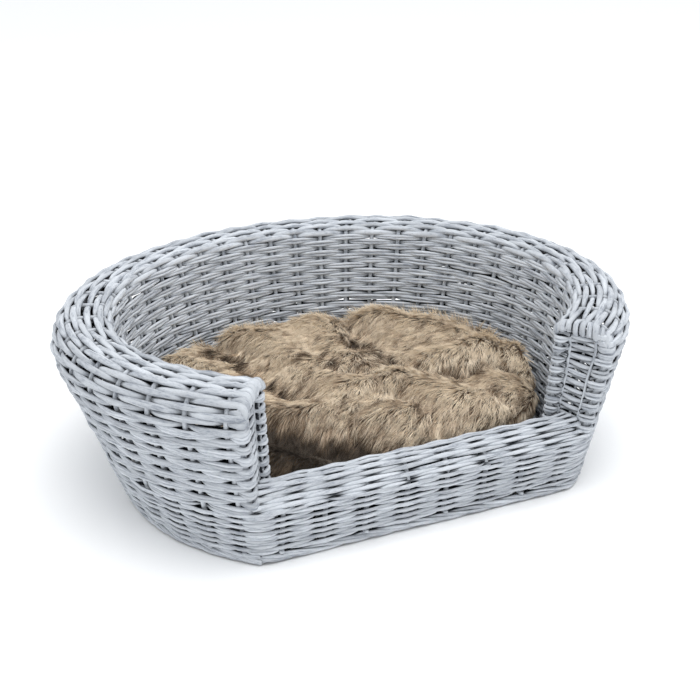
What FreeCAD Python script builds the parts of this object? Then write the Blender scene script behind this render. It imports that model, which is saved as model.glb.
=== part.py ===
import FreeCAD, Part
import math
import os

# Wicker pet bed basket: a double-walled, horseshoe-shaped willow basket with a low
# front sill, and a loose padded cushion that lifts out.
# Millimetres. +X across, +Y to the back, +Z up, origin under the middle on the floor.

# Overall
WIDTH = 570.0
BACK_Y = 230.0
FRONT_Y = -230.0
HEIGHT = 175.0

# Plan outlines: each is an ellipse arc closed by a straight front
MOUTH_HALF = 177.0        # half the distance between the two arm ends, at the rim
BASE_HALF_W = 233.0
BASE_BACK_Y = 160.0
BASE_FRONT_Y = -206.5

# Wall section
R_OUT = 30.0              # rounding on the outside of the rim
R_IN = 15.0               # rounding on the inside of the rim
RIM_FALL = math.radians(5.0)
RIM_W = 62.0              # rim width across both roundings
LEAN = 0.42               # how far the inner wall leans with the outer wall
SKIN = 4.5                # thickness of a woven skin
GAP = 0.3                 # gap between touching pieces
STAKE_R = 2.2
STAKE_DEPTH = 7.2         # stake axis below the woven surface
BORDER_H = 9.2            # border round the foot
STAKE_FOOT = 11.0         # where the stakes start, just above the border
FLOOR_LOW = 0.8           # woven floor, from here to its top
FLOOR_TOP = 12.5
FLOOR_STICK_Z = 6.6
FLOOR_STICK_R = 2.3
FLOOR_STICKS = 9
FLOOR_STICK_PITCH = 37.0
INNER_FOOT = 14.0

# Front sill
SILL_FRONT_Z = 57.0
SILL_TOP_Z = 79.0
SILL_DEPTH = 35.0
SILL_ROUND = 13.0         # rounding along the back of the sill's top

STAKE_PITCH = 38.0

# Cushion
CUSHION_CLEAR = 4.0       # to the inner wall
CUSHION_BOTTOM = 12.8
CUSHION_SEAM = 34.0
CUSHION_SHOULDER = 62.0   # height where the sides turn in to the top
CUSHION_FOOT_R = 10.0
CUSHION_TOP = 92.0
FUR_T = 5.0

V = FreeCAD.Vector
PSI_END = math.atan2(MOUTH_HALF, FRONT_Y)      # arm end, measured from the back
STATIONS = 37


def outline(half_w, corner_x, front, back):
    """Ellipse through the back point and both front corners: half axes and centre."""
    k = math.sqrt(1.0 - (corner_x / half_w) ** 2)
    b = (back - front) / (1.0 + k)
    return half_w, b, back - b


TOP = outline(WIDTH / 2, MOUTH_HALF, FRONT_Y, BACK_Y)
BASE = outline(BASE_HALF_W, MOUTH_HALF * BASE_FRONT_Y / FRONT_Y, BASE_FRONT_Y, BASE_BACK_Y)


def reach(psi, ell):
    """Distance from the middle to an ellipse in the direction psi."""
    a, b, yc = ell
    s, c = math.sin(psi), math.cos(psi)
    qa = (s / a) ** 2 + (c / b) ** 2
    qb = -2.0 * c * yc / b ** 2
    qc = (yc / b) ** 2 - 1.0
    return (-qb + math.sqrt(qb * qb - 4.0 * qa * qc)) / (2.0 * qa)


def tangent_angle(px, pz, cx, cz, r, side):
    """Direction from a circle's centre to where a line from a point touches it."""
    d = math.hypot(px - cx, pz - cz)
    return math.atan2(pz - cz, px - cx) + side * math.acos(r / d)


class Section:
    """Wall section in the upright plane at psi, as distances (r, z)."""

    def __init__(self, psi):
        self.psi = psi
        self.rb, self.rt = reach(psi, BASE), reach(psi, TOP)
        self.c1 = (self.rt - R_OUT, HEIGHT - R_OUT)
        r2 = self.rt - RIM_W + R_IN
        fall = (R_OUT - R_IN + math.sin(RIM_FALL) * (r2 - self.c1[0])) / math.cos(RIM_FALL)
        self.c2 = (r2, self.c1[1] + fall)
        self.foot = (self.rt - RIM_W - LEAN * (self.rt - self.rb), INNER_FOOT)
        self.th1 = tangent_angle(self.rb, 0.0, *self.c1, R_OUT, 1)
        self.th2 = math.pi / 2 + RIM_FALL
        self.th3 = tangent_angle(*self.foot, *self.c2, R_IN, -1) % (2 * math.pi)

    def pt(self, rz):
        return V(rz[0] * math.sin(self.psi), rz[0] * math.cos(self.psi), rz[1])

    def arc_rz(self, which, th, depth):
        c, r = (self.c1, R_OUT) if which == 1 else (self.c2, R_IN)
        return (c[0] + (r - depth) * math.cos(th), c[1] + (r - depth) * math.sin(th))

    def outer_rz(self, z, depth):
        """Point at height z on the outer wall, a depth below its surface."""
        n = (math.cos(self.th1), math.sin(self.th1))
        r0, z0 = self.rb - depth * n[0], -depth * n[1]
        return (r0 - (z - z0) * n[1] / n[0], z)

    def inner_rz(self, z, depth):
        """Point at height z on the inner wall, a depth below its surface."""
        n = (math.cos(self.th3), math.sin(self.th3))
        r0, z0 = self.foot[0] - depth * n[0], self.foot[1] - depth * n[1]
        return (r0 - (z - z0) * n[1] / n[0], z)

    def line(self, a, b):
        return Part.makeLine(self.pt(a), self.pt(b))

    def arc(self, which, tha, thb, depth):
        mid = (tha + thb) / 2
        pts = [self.pt(self.arc_rz(which, t, depth)) for t in (tha, mid, thb)]
        return Part.Arc(*pts).toShape()

    def loop(self, corners):
        """Closed straight-sided wire through (r, z) corners."""
        pts = [self.pt(c) for c in corners]
        return Part.makePolygon(pts + pts[:1])


def rod(path, radius):
    """Round rod along a smooth wire."""
    edge = path.OrderedEdges[0]
    start = edge.valueAt(edge.FirstParameter)
    along = edge.tangentAt(edge.FirstParameter)
    if path.OrderedVertexes[0].Point.distanceToPoint(start) > 1e-4:
        start = edge.valueAt(edge.LastParameter)
        along = edge.tangentAt(edge.LastParameter)
    ring = Part.Wire(Part.makeCircle(radius, start, along))
    return path.makePipeShell([ring], True, False)


def curve(points, closed=False):
    spline = Part.BSplineCurve()
    spline.interpolate(points, PeriodicFlag=closed)
    return Part.Wire(spline.toShape())


def spread(n, lo=-PSI_END, hi=PSI_END):
    return [lo + (hi - lo) * i / (n - 1) for i in range(n)]


def spaced_psi(pitch):
    """Directions that split the top outline into equal lengths of about the pitch."""
    fine = spread(1441)
    pts = [Section(p).pt((reach(p, TOP), 0.0)) for p in fine]
    run = [0.0]
    for a, b in zip(pts, pts[1:]):
        run.append(run[-1] + a.distanceToPoint(b))
    count = round(run[-1] / pitch)
    found, j = [], 0
    for i in range(count):
        target = run[-1] * (i + 0.5) / count
        while run[j + 1] < target:
            j += 1
        part = (target - run[j]) / (run[j + 1] - run[j])
        found.append(fine[j] + (fine[j + 1] - fine[j]) * part)
    return found


def skin_loft(section_wire):
    return Part.makeLoft([section_wire(Section(p)) for p in spread(STATIONS)], True, False)


# ---- woven skins of the horseshoe ----------------------------------------------------

def outer_wire(s):
    top = s.th1 - GAP / R_OUT
    return s.loop([s.outer_rz(BORDER_H + GAP, 0), s.arc_rz(1, top, 0),
                   s.arc_rz(1, top, SKIN), s.outer_rz(BORDER_H + GAP, SKIN)])


def rim_wire(s):
    lo, hi = s.th1, s.th3
    edges = [s.arc(1, lo, s.th2, 0),
             s.line(s.arc_rz(1, s.th2, 0), s.arc_rz(2, s.th2, 0)),
             s.arc(2, s.th2, hi, 0),
             s.line(s.arc_rz(2, hi, 0), s.arc_rz(2, hi, SKIN)),
             s.arc(2, hi, s.th2, SKIN),
             s.line(s.arc_rz(2, s.th2, SKIN), s.arc_rz(1, s.th2, SKIN)),
             s.arc(1, s.th2, lo, SKIN),
             s.line(s.arc_rz(1, lo, SKIN), s.arc_rz(1, lo, 0))]
    return Part.Wire(edges)


def inner_wire(s):
    top = s.arc_rz(2, s.th3, 0)[1] - GAP
    return s.loop([s.inner_rz(INNER_FOOT, 0), s.inner_rz(top, 0),
                   s.inner_rz(top, SKIN), s.inner_rz(INNER_FOOT, SKIN)])


END = Section(PSI_END)
COS_END = -math.cos(PSI_END)


def front_y(z, depth):
    """Front wall plane at height z, a depth inside it."""
    y = -COS_END * END.outer_rz(z, 0)[0]
    return y + depth


SILL_Y0 = front_y(SILL_FRONT_Z, 0)
SILL_Y1 = SILL_Y0 + SILL_DEPTH
SILL_C = (SILL_Y1 - SILL_ROUND, SILL_TOP_Z - SILL_ROUND)
SILL_TANGENT = tangent_angle(SILL_Y0, SILL_FRONT_Z, *SILL_C, SILL_ROUND, -1) % math.tau


def between_arms(shape, inset=0.0):
    """Keep what lies between the planes of the two arm ends."""
    reach_out = 400.0
    cut = inset / math.sin(math.pi - PSI_END)
    pts = [V(0, -cut, -20), V(-reach_out * math.sin(PSI_END), -reach_out * COS_END - cut, -20),
           V(reach_out * math.sin(PSI_END), -reach_out * COS_END - cut, -20)]
    wedge = Part.Face(Part.makePolygon(pts + pts[:1])).extrude(V(0, 0, 240))
    return shape.common(wedge)


def across(profile_yz):
    """Extrude a closed (y, z) profile across the whole width."""
    pts = [V(-250, y, z) for y, z in profile_yz]
    return Part.Face(Part.makePolygon(pts + pts[:1])).extrude(V(500, 0, 0))


def yz(y, z):
    return V(0, y, z)


def sill_arc(th, depth):
    return yz(SILL_C[0] + (SILL_ROUND - depth) * math.cos(th),
              SILL_C[1] + (SILL_ROUND - depth) * math.sin(th))


def sill_front_corner(depth):
    """Where the front wall and the sill's slope meet, a depth below both surfaces."""
    out = yz(math.cos(SILL_TANGENT), math.sin(SILL_TANGENT))
    along = yz(out.z, -out.y)
    start = yz(SILL_Y0, SILL_FRONT_Z) - out * depth
    return start + along * ((front_y(SILL_FRONT_Z, depth) - start.y) / along.y)


def sill_over(depth, z_back):
    """Edges from the sill's front line over its rounded back and down to z_back."""
    start, end = sill_arc(SILL_TANGENT, depth), sill_arc(0.0, depth)
    middle = sill_arc(SILL_TANGENT / 2, depth)
    return [Part.makeLine(sill_front_corner(depth), start),
            Part.Arc(start, middle, end).toShape(),
            Part.makeLine(end, yz(end.y, z_back))]


def band_between(outer, inner):
    """Closed face between two open wires that run side by side."""
    a, b = outer.OrderedVertexes, inner.OrderedVertexes
    ends = [Part.makeLine(a[-1].Point, b[-1].Point), Part.makeLine(b[0].Point, a[0].Point)]
    return Part.Face(Part.Wire(outer.OrderedEdges + [ends[0]] + inner.OrderedEdges[::-1] + [ends[1]]))


def front_skin():
    low, high = BORDER_H + GAP, SILL_FRONT_Z - GAP
    inner = sill_front_corner(SKIN)
    quad = [(front_y(low, 0), low), (front_y(high, 0), high),
            (inner.y, inner.z - GAP), (front_y(low, SKIN), low)]
    return between_arms(across(quad))


def sill_skins():
    """Woven top of the sill and woven inside of the sill."""
    split = SILL_C[1]
    top = [Part.Wire(sill_over(d, INNER_FOOT)[:2]) for d in (0.0, SKIN)]
    skins = [band_between(*top)]
    y0, y1 = SILL_Y1 - SKIN, SILL_Y1
    corners = [yz(y0, INNER_FOOT), yz(y1, INNER_FOOT), yz(y1, split - GAP), yz(y0, split - GAP)]
    skins.append(Part.Face(Part.makePolygon(corners + corners[:1])))
    for i, face in enumerate(skins):
        face.translate(V(-250, 0, 0))
        skins[i] = between_arms(face.extrude(V(500, 0, 0)), GAP)
    return skins


def end_panel(side):
    """Flat woven panel that closes the double wall at one arm end."""
    s = Section(side * PSI_END)
    d = SKIN + GAP
    run = (SILL_Y1 - SILL_Y0) / COS_END
    r_front = s.outer_rz(SILL_FRONT_Z, 0)[0]
    start = s.outer_rz(SILL_FRONT_Z + 3.0, d)
    corner = (r_front - run * 0.72, SILL_TOP_Z + GAP)
    edges = [s.line(start, s.arc_rz(1, s.th1, d)),
             s.arc(1, s.th1, s.th2, d),
             s.line(s.arc_rz(1, s.th2, d), s.arc_rz(2, s.th2, d)),
             s.arc(2, s.th2, s.th3, d),
             s.line(s.arc_rz(2, s.th3, d), s.inner_rz(SILL_TOP_Z + GAP, d)),
             s.line(s.inner_rz(SILL_TOP_Z + GAP, d), corner),
             s.line(corner, start)]
    return Part.Face(Part.Wire(edges)).extrude(into_arm(side, SKIN))


def into_arm(side, dist):
    """Step from an arm end back into its arm."""
    return V(-side * math.cos(PSI_END), math.sin(PSI_END), 0) * dist


def end_post(side, outer):
    s = Section(side * PSI_END)
    radius = 4.2 if outer else 3.6
    depth = SKIN + GAP + radius + 0.4
    at = s.outer_rz if outer else s.inner_rz
    top = s.arc_rz(1, s.th1, depth)[1] if outer else s.arc_rz(2, s.th3, depth)[1] - 10.0
    path = Part.Wire(s.line(at(INNER_FOOT + 1.0, depth), at(top, depth)))
    path.translate(into_arm(side, SKIN + GAP + radius))
    return rod(path, radius)


# ---- rods ----------------------------------------------------------------------------

def wall_stake(psi):
    s = Section(psi)
    d = STAKE_DEPTH
    path = Part.Wire([s.line(s.outer_rz(STAKE_FOOT, d), s.arc_rz(1, s.th1, d)),
                      s.arc(1, s.th1, s.th2, d),
                      s.line(s.arc_rz(1, s.th2, d), s.arc_rz(2, s.th2, d)),
                      s.arc(2, s.th2, s.th3, d),
                      s.line(s.arc_rz(2, s.th3, d), s.inner_rz(INNER_FOOT, d))])
    return rod(path, STAKE_R)


def sill_stake(x):
    d = STAKE_DEPTH
    corner = sill_front_corner(d)
    over = sill_over(d, INNER_FOOT)
    low = yz(front_y(STAKE_FOOT, d), STAKE_FOOT)
    a, b = (low - corner).normalize(), (over[0].Vertexes[1].Point - corner).normalize()
    t, r = 6.0, 6.0 * math.tan(a.getAngle(b) / 2)
    centre = corner + (a + b).normalize() * math.hypot(t, r)
    mid = centre + (corner - centre).normalize() * r
    path = Part.Wire([Part.makeLine(low, corner + a * t),
                      Part.Arc(corner + a * t, mid, corner + b * t).toShape(),
                      Part.makeLine(corner + b * t, over[0].Vertexes[1].Point)] + over[1:])
    path.translate(V(x, 0, 0))
    return rod(path, STAKE_R)


def hoop(place, radius, trim):
    """Rod that runs round the horseshoe inside the double wall."""
    lim = PSI_END - trim / reach(PSI_END, TOP)
    pts = [Section(p).pt(place(Section(p))) for p in spread(25, -lim, lim)]
    return rod(curve(pts), radius)


def outer_hoop_place(s):
    d = STAKE_DEPTH + STAKE_R + GAP + 4.0
    return s.arc_rz(1, math.radians(45), d)


def inner_hoop_place(s):
    d = STAKE_DEPTH + STAKE_R + GAP + 3.0
    return s.arc_rz(2, math.radians(120), d)


def floor_hoop_place(s):
    z = FLOOR_TOP + GAP + 3.0
    return (s.inner_rz(z, STAKE_DEPTH + STAKE_R + GAP + 3.4)[0], z)


def closed_outline(inset, z, step=2.0):
    """Closed base outline, moved inwards: arc points, then the straight front."""
    arc = [Section(p).pt((reach(p, BASE) - inset, z)) for p in spread(73)]
    front = BASE_FRONT_Y + inset
    arc = [p for p in arc if p.y > front + step]
    k = math.tan(math.pi - PSI_END)
    x = (-front) * k - inset * 0.35
    ends = [V(x, front, z), V(-x, front, z)]
    spline = Part.BSplineCurve()
    spline.interpolate([ends[1]] + arc + [ends[0]])
    return Part.Wire([spline.toShape(), Part.makeLine(ends[0], ends[1])])


def plate(inset, z0, z1):
    return Part.Face(closed_outline(inset, z0)).extrude(V(0, 0, z1 - z0))


def stick_rods(radius):
    """Straight sticks across the floor, from side to side."""
    bed = plate(STAKE_DEPTH + STAKE_R + 1.5, 0.5, FLOOR_TOP)
    rods = []
    for i in range(FLOOR_STICKS):
        y = BASE_FRONT_Y + 30.0 + i * FLOOR_STICK_PITCH
        rods.append(Part.makeCylinder(radius, 600, V(-300, y, FLOOR_STICK_Z), V(1, 0, 0)))
    return rods, bed


def base_sticks():
    rods, bed = stick_rods(FLOOR_STICK_R)
    return Part.makeCompound([r.common(bed) for r in rods])


def base_weave():
    """Woven floor with the tunnels its sticks pass through."""
    rods, _ = stick_rods(FLOOR_STICK_R + GAP)
    return plate(STAKE_DEPTH + STAKE_R + GAP + 0.5, FLOOR_LOW, FLOOR_TOP).cut(rods)


# ---- cushion -------------------------------------------------------------------------

def cushion_ring(psi, level):
    """Point of the cushion outline at a level, given as (height, pull-in)."""
    z, inset = level
    s = Section(psi)
    wall = s.inner_rz(z, 0)[0] - CUSHION_CLEAR
    front = -(SILL_Y1 + CUSHION_CLEAR) / max(0.05, -math.cos(psi))
    r = (wall ** -12 + front ** -12) ** (-1 / 12)
    r *= 1.0 - inset / 170.0
    return V(r * math.sin(psi), r * math.cos(psi), z)


def cushion_body(shrink):
    """Padded body with its whole surface pulled in by an even amount."""
    low, high = CUSHION_BOTTOM + shrink, CUSHION_TOP - shrink
    levels = []
    for i in range(5):
        t = math.pi / 2 * i / 4
        levels.append((low + CUSHION_FOOT_R * (1 - math.cos(t)),
                       CUSHION_FOOT_R * (1 - math.sin(t))))
    rise, reach_in = high - CUSHION_SHOULDER, 90.0
    for i in range(8):
        t = math.pi / 2 * i / 7
        levels.append((CUSHION_SHOULDER + rise * math.sin(t), reach_in * (1 - math.cos(t))))
    rings = []
    for z, inset in levels:
        pts = [cushion_ring(2 * math.pi * i / 72, (z, inset + shrink)) for i in range(72)]
        rings.append(curve(pts, True))
    return Part.makeLoft(rings, True, True)


def build():
    parts = {}
    horseshoe = skin_loft(outer_wire)
    parts["outer_wall_weave"] = horseshoe.fuse(front_skin()).removeSplitter()
    parts["rim_weave"] = skin_loft(rim_wire)
    parts["inner_wall_weave"] = skin_loft(inner_wire)
    parts["sill_top_weave"], parts["sill_inner_weave"] = sill_skins()
    for name, side in (("left", -1), ("right", 1)):
        parts[name + "_end_weave"] = end_panel(side)
        parts[name + "_outer_post"] = end_post(side, True)
        parts[name + "_inner_post"] = end_post(side, False)

    parts["wall_stakes"] = Part.makeCompound([wall_stake(p) for p in spaced_psi(STAKE_PITCH)])
    half = MOUTH_HALF * BASE_FRONT_Y / FRONT_Y
    n = round(2 * half / STAKE_PITCH)
    pitch = 2 * half / n
    parts["sill_stakes"] = Part.makeCompound(
        [sill_stake(-half + pitch * (i + 0.5)) for i in range(n)])

    parts["outer_rim_hoop"] = hoop(outer_hoop_place, 4.0, 16.0)
    parts["inner_rim_hoop"] = hoop(inner_hoop_place, 3.0, 16.0)
    parts["floor_hoop"] = hoop(floor_hoop_place, 3.0, 20.0)

    d = STAKE_DEPTH + STAKE_R + GAP + 3.0
    rails = (("sill_front_rail", sill_front_corner(d) + yz(2.0, 0.0)),
             ("sill_back_rail", yz(SILL_C[0], SILL_TOP_Z - d)))
    for name, p in rails:
        x = -p.y * math.tan(math.pi - PSI_END) - 26.0
        parts[name] = Part.makeCylinder(3.0, 2 * x, p - V(x, 0, 0), V(1, 0, 0))

    parts["foot_border"] = plate(0.0, 0.0, BORDER_H).cut(plate(SKIN, -1.0, BORDER_H + 1.0))
    parts["base_sticks"] = base_sticks()
    parts["base_weave"] = base_weave()

    body = cushion_body(0.0)
    core = cushion_body(FUR_T)
    shell = body.cut(core)
    above = Part.makeBox(700, 700, 200, V(-350, -350, CUSHION_SEAM))
    below = Part.makeBox(700, 700, 200, V(-350, -350, CUSHION_SEAM - 200 - GAP))
    parts["cushion_fur_top"] = shell.common(above)
    parts["cushion_base_cover"] = shell.common(below)
    parts["cushion_filling"] = cushion_body(FUR_T + GAP)
    return parts


if __name__ == "__main__":
    os.makedirs("parts", exist_ok=True)
    for node, shape in build().items():
        solids = shape.Solids
        out = solids[0] if len(solids) == 1 else Part.makeCompound(solids)
        out.exportStep("parts/%s.step" % node)
        box = out.BoundBox
        print("%-20s solids %2d valid %s vol %9.0f  x %.1f..%.1f y %.1f..%.1f z %.1f..%.1f" % (
            node, len(solids), out.isValid(), out.Volume, box.XMin, box.XMax,
            box.YMin, box.YMax, box.ZMin, box.ZMax))
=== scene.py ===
import math

import bpy
import numpy as np
from bpy.props import FloatProperty, FloatVectorProperty, IntProperty, PointerProperty
from bpy.types import Operator, Panel, PropertyGroup
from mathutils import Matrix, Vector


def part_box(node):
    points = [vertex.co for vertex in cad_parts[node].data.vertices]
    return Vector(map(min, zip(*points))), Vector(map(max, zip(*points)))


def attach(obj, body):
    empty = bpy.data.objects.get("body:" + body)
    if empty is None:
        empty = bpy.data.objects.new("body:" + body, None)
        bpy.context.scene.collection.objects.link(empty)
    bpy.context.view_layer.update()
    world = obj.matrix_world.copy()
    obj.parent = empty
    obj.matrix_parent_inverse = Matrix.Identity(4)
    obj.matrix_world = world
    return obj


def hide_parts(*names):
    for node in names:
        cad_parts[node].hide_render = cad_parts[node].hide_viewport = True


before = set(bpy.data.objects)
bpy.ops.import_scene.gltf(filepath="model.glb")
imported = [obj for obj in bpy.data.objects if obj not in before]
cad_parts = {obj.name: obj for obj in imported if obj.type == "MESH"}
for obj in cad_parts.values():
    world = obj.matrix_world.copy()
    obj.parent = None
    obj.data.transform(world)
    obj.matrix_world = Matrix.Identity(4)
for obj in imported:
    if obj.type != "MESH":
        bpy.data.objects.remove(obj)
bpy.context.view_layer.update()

bl_info = {
    "name": "Wicker pet basket",
    "version": (1, 0, 0),
    "blender": (4, 5, 0),
    "location": "View3D > Sidebar > Basket",
    "description": "Weaves a horseshoe-shaped willow basket and makes its long-pile cushion",
    "category": "Add Mesh",
}

MM = 0.001
UP = np.array([0.0, 0.0, 1.0])
FLUSH = 0.55  # how far out a rod lies between two uprights; 1 is in front of one
BEHIND_TO_FRONT = (-1.0, FLUSH, 1.0)
WALL_SIDES = 6  # faces round each of the many wall rods


def box_mm(node):
    """Lowest and highest corner of a CAD node, in millimetres."""
    lo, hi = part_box(node)
    return np.array(lo) * 1000.0, np.array(hi) * 1000.0


# ---- sizes and colours a user may change ---------------------------------------------


class WillowSizes(PropertyGroup):
    mouth_half: FloatProperty(
        name="Half mouth", default=177.0, description="Half the gap between the arm ends, mm")
    rim_round: FloatProperty(
        name="Outer rounding", default=30.0, description="Rounding outside the rim, mm")
    rim_round_in: FloatProperty(
        name="Inner rounding", default=15.0, description="Rounding inside the rim, mm")
    rim_width: FloatProperty(name="Rim width", default=62.0, description="Width of the rim, mm")
    rim_fall: FloatProperty(
        name="Rim fall", default=math.radians(5.0), subtype="ANGLE",
        description="How far the top of the rim tips inwards")
    lean: FloatProperty(
        name="Lean", default=0.42, description="Share of the outer wall's lean the inner has")
    stake_pitch: FloatProperty(
        name="Stake pitch", default=38.0, description="Distance between stakes, mm")
    stake_depth: FloatProperty(
        name="Stake depth", default=7.2, description="Stake axis below the surface, mm")
    stake_r: FloatProperty(name="Stake radius", default=2.2, description="Stake radius, mm")
    sill_round: FloatProperty(
        name="Sill rounding", default=13.0, description="Rounding at the back of the sill, mm")
    sill_front: FloatProperty(
        name="Sill line", default=57.0, description="Height of the sill's front line, mm")
    rod_sides: IntProperty(
        name="Rod sides", default=8, min=5, max=16, description="Faces round each rod")
    seed: IntProperty(name="Seed", default=11, description="Seed of every irregular choice")


class CushionSizes(PropertyGroup):
    clear: FloatProperty(name="Clearance", default=2.0, description="Gap to the inner wall, mm")
    shoulder: FloatProperty(
        name="Shoulder", default=68.0, description="Height where the sides turn in, mm")
    crown: FloatProperty(name="Crown", default=79.0, description="Height of the pad, mm")
    inset: FloatProperty(
        name="Start inset", default=7.0,
        description="How much smaller the pad is before it fills, mm")
    voxel: FloatProperty(name="Voxel", default=6.0, description="Remesh size of the pad, mm")
    pressure: FloatProperty(
        name="Filling pressure", default=4.0, description="Pressure of the filling")
    puff: FloatProperty(
        name="Most puff", default=5.0, description="Furthest the filling may push the cover, mm")
    pile_length: FloatProperty(
        name="Pile length", default=25.0, description="Hair length on top, mm")
    pile_count: IntProperty(name="Hairs on top", default=52000, description="Hairs on the top")
    side_count: IntProperty(
        name="Hairs on the sides", default=11500, description="Hairs on the sides")


class BasketColours(PropertyGroup):
    # The wash covers every rod; the darker sides and hollows between rods are painted shade in the
    # material.
    wash: FloatVectorProperty(
        name="Whitewash", subtype="COLOR", size=3, default=(0.655, 0.685, 0.725),
        description="Pale wash on the proud faces of the rods")
    # Grey stain where the wash is worn; a fifth of this colour also paints the shade in the
    # hollows between rods.
    stain_and_painted_shade: FloatVectorProperty(
        name="Bare rod", subtype="COLOR", size=3, default=(0.10, 0.115, 0.145),
        description="Grey stain where the wash is thin")
    # Also the colour the darkest hairs turn to, among them those darkened as painted shade and
    # painted shadow.
    hair_root: FloatVectorProperty(
        name="Hair root", subtype="COLOR", size=3, default=(0.022, 0.014, 0.009),
        description="Pile near the cloth")
    hair_middle: FloatVectorProperty(
        name="Hair middle", subtype="COLOR", size=3, default=(0.64, 0.45, 0.29),
        description="Pile half way up")
    hair_tip: FloatVectorProperty(
        name="Hair tip", subtype="COLOR", size=3, default=(0.99, 0.86, 0.68),
        description="Pile at its light tips")
    cover: FloatVectorProperty(
        name="Plain cover", subtype="COLOR", size=3, default=(0.05, 0.04, 0.033),
        description="Cloth under the cushion")


# ---- wall shape ----------------------------------------------------------------------


def outline(half_w, corner_x, front, back):
    """Ellipse through the back point and both front corners: half axes and centre."""
    k = math.sqrt(1.0 - (corner_x / half_w) ** 2)
    b = (back - front) / (1.0 + k)
    return half_w, b, back - b


def reach(psi, ell):
    """Distance to the ellipse along psi, the positive root of its quadratic."""
    a, b, yc = ell
    s, c = np.sin(psi), np.cos(psi)
    qa = (s / a) ** 2 + (c / b) ** 2
    qb = -2.0 * c * yc / b ** 2
    qc = (yc / b) ** 2 - 1.0
    return (-qb + np.sqrt(qb * qb - 4.0 * qa * qc)) / (2.0 * qa)


class Wall:
    """The double wall: in the upright plane at psi the outer wall rises straight from the
    foot outline to a circle under the rim, crosses to a smaller circle and drops straight
    to the foot of the inner wall."""

    FOOT_Z = 14.0

    def __init__(self, s):
        (lo, hi), (foot_lo, foot_hi) = box_mm("rim_weave"), box_mm("foot_border")
        self.s = s
        self.height = hi[2]
        self.top = outline(hi[0], s.mouth_half, lo[1], hi[1])
        self.base = outline(foot_hi[0], s.mouth_half * foot_lo[1] / lo[1], foot_lo[1], foot_hi[1])
        self.end = math.atan2(s.mouth_half, lo[1])
        self.fine = np.linspace(-self.end, self.end, 2881)
        r = reach(self.fine, self.top)
        xy = np.stack([r * np.sin(self.fine), r * np.cos(self.fine)], 1)
        run = np.concatenate([[0.0], np.cumsum(np.linalg.norm(np.diff(xy, axis=0), axis=1))])
        self.count = round(run[-1] / s.stake_pitch)
        self.index = run / run[-1] * self.count - 0.5
        self.step = run[-1] / self.count

    def psi(self, i):
        """Direction of a place counted in stakes, 0 at the first stake."""
        return np.interp(i, self.index, self.fine)

    def section(self, psi):
        """Profile at psi: foot radius, centres of the outer and the inner circle, foot of
        the inner wall, and the angles where the straight walls touch the circles, each
        the direction to the foot plus or minus acos(radius / distance)."""
        s = self.s
        rb, rt = reach(psi, self.base), reach(psi, self.top)
        c1r, c1z = rt - s.rim_round, self.height - s.rim_round
        c2r = rt - s.rim_width + s.rim_round_in
        c2z = c1z + (s.rim_round - s.rim_round_in
                     + math.sin(s.rim_fall) * (c2r - c1r)) / math.cos(s.rim_fall)
        fr = rt - s.rim_width - s.lean * (rt - rb)
        d1 = np.hypot(rb - c1r, c1z)
        th1 = np.arctan2(-c1z, rb - c1r) + np.arccos(s.rim_round / d1)
        d3 = np.hypot(fr - c2r, self.FOOT_Z - c2z)
        th3 = np.arctan2(self.FOOT_Z - c2z, fr - c2r) - np.arccos(s.rim_round_in / d3)
        return rb, c1r, c1z, c2r, c2z, fr, th1, th3 % (2 * math.pi)

    def at(self, psi, zone, t, depth=0.0):
        """Point and outward normal on the surface: zone outer counts t as height from the
        sill line up to the rim's circle, low takes it as a height in mm, rim counts it as
        arc length over both circles, inner counts it down the inner wall. The point is
        moved in by depth."""
        s = self.s
        psi = np.asarray(psi, float)
        rb, c1r, c1z, c2r, c2z, fr, th1, th3 = self.section(psi)
        th2 = math.pi / 2 + s.rim_fall
        if zone == "outer":
            tr, tz = c1r + s.rim_round * np.cos(th1), c1z + s.rim_round * np.sin(th1)
            z = s.sill_front + t * (tz - s.sill_front)
            r, ang = rb + (tr - rb) * z / tz, th1
        elif zone == "low":
            tr, tz = c1r + s.rim_round * np.cos(th1), c1z + s.rim_round * np.sin(th1)
            z, ang = t + 0 * tz, th1
            r = rb + (tr - rb) * z / tz
        elif zone == "rim":
            e1r, e1z = c1r + s.rim_round * math.cos(th2), c1z + s.rim_round * math.sin(th2)
            e2r, e2z = c2r + s.rim_round_in * math.cos(th2), c2z + s.rim_round_in * math.sin(th2)
            a1 = s.rim_round * (th2 - th1)
            flat = np.hypot(e2r - e1r, e2z - e1z)
            a3 = s.rim_round_in * (th3 - th2)
            run = t * (a1 + flat + a3)
            first, last = run < a1, run > a1 + flat
            ang = np.where(first, th1 + run / s.rim_round,
                           np.where(last, th2 + (run - a1 - flat) / s.rim_round_in, th2))
            m = np.clip((run - a1) / flat, 0.0, 1.0)
            r = np.where(first, c1r + s.rim_round * np.cos(ang),
                         np.where(last, c2r + s.rim_round_in * np.cos(ang), e1r + m * (e2r - e1r)))
            z = np.where(first, c1z + s.rim_round * np.sin(ang),
                         np.where(last, c2z + s.rim_round_in * np.sin(ang), e1z + m * (e2z - e1z)))
        else:
            tr, tz = c2r + s.rim_round_in * np.cos(th3), c2z + s.rim_round_in * np.sin(th3)
            r, z, ang = tr + t * (fr - tr), tz + t * (self.FOOT_Z - tz), th3
        nr, nz = np.cos(ang), np.sin(ang)
        r, z = r - depth * nr, z - depth * nz
        sp, cp = np.sin(psi), np.cos(psi)
        return np.stack([r * sp, r * cp, z], -1), np.stack([nr * sp, nr * cp, nz + 0 * sp], -1)

    def length(self, zone):
        """Length of a zone's profile at the side of the basket, in millimetres."""
        t = np.linspace(0.0, 1.0, 200)
        p = np.stack([self.at(np.array([1.7]), zone, v)[0][0] for v in t])
        return float(np.linalg.norm(np.diff(p, axis=0), axis=1).sum())

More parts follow.
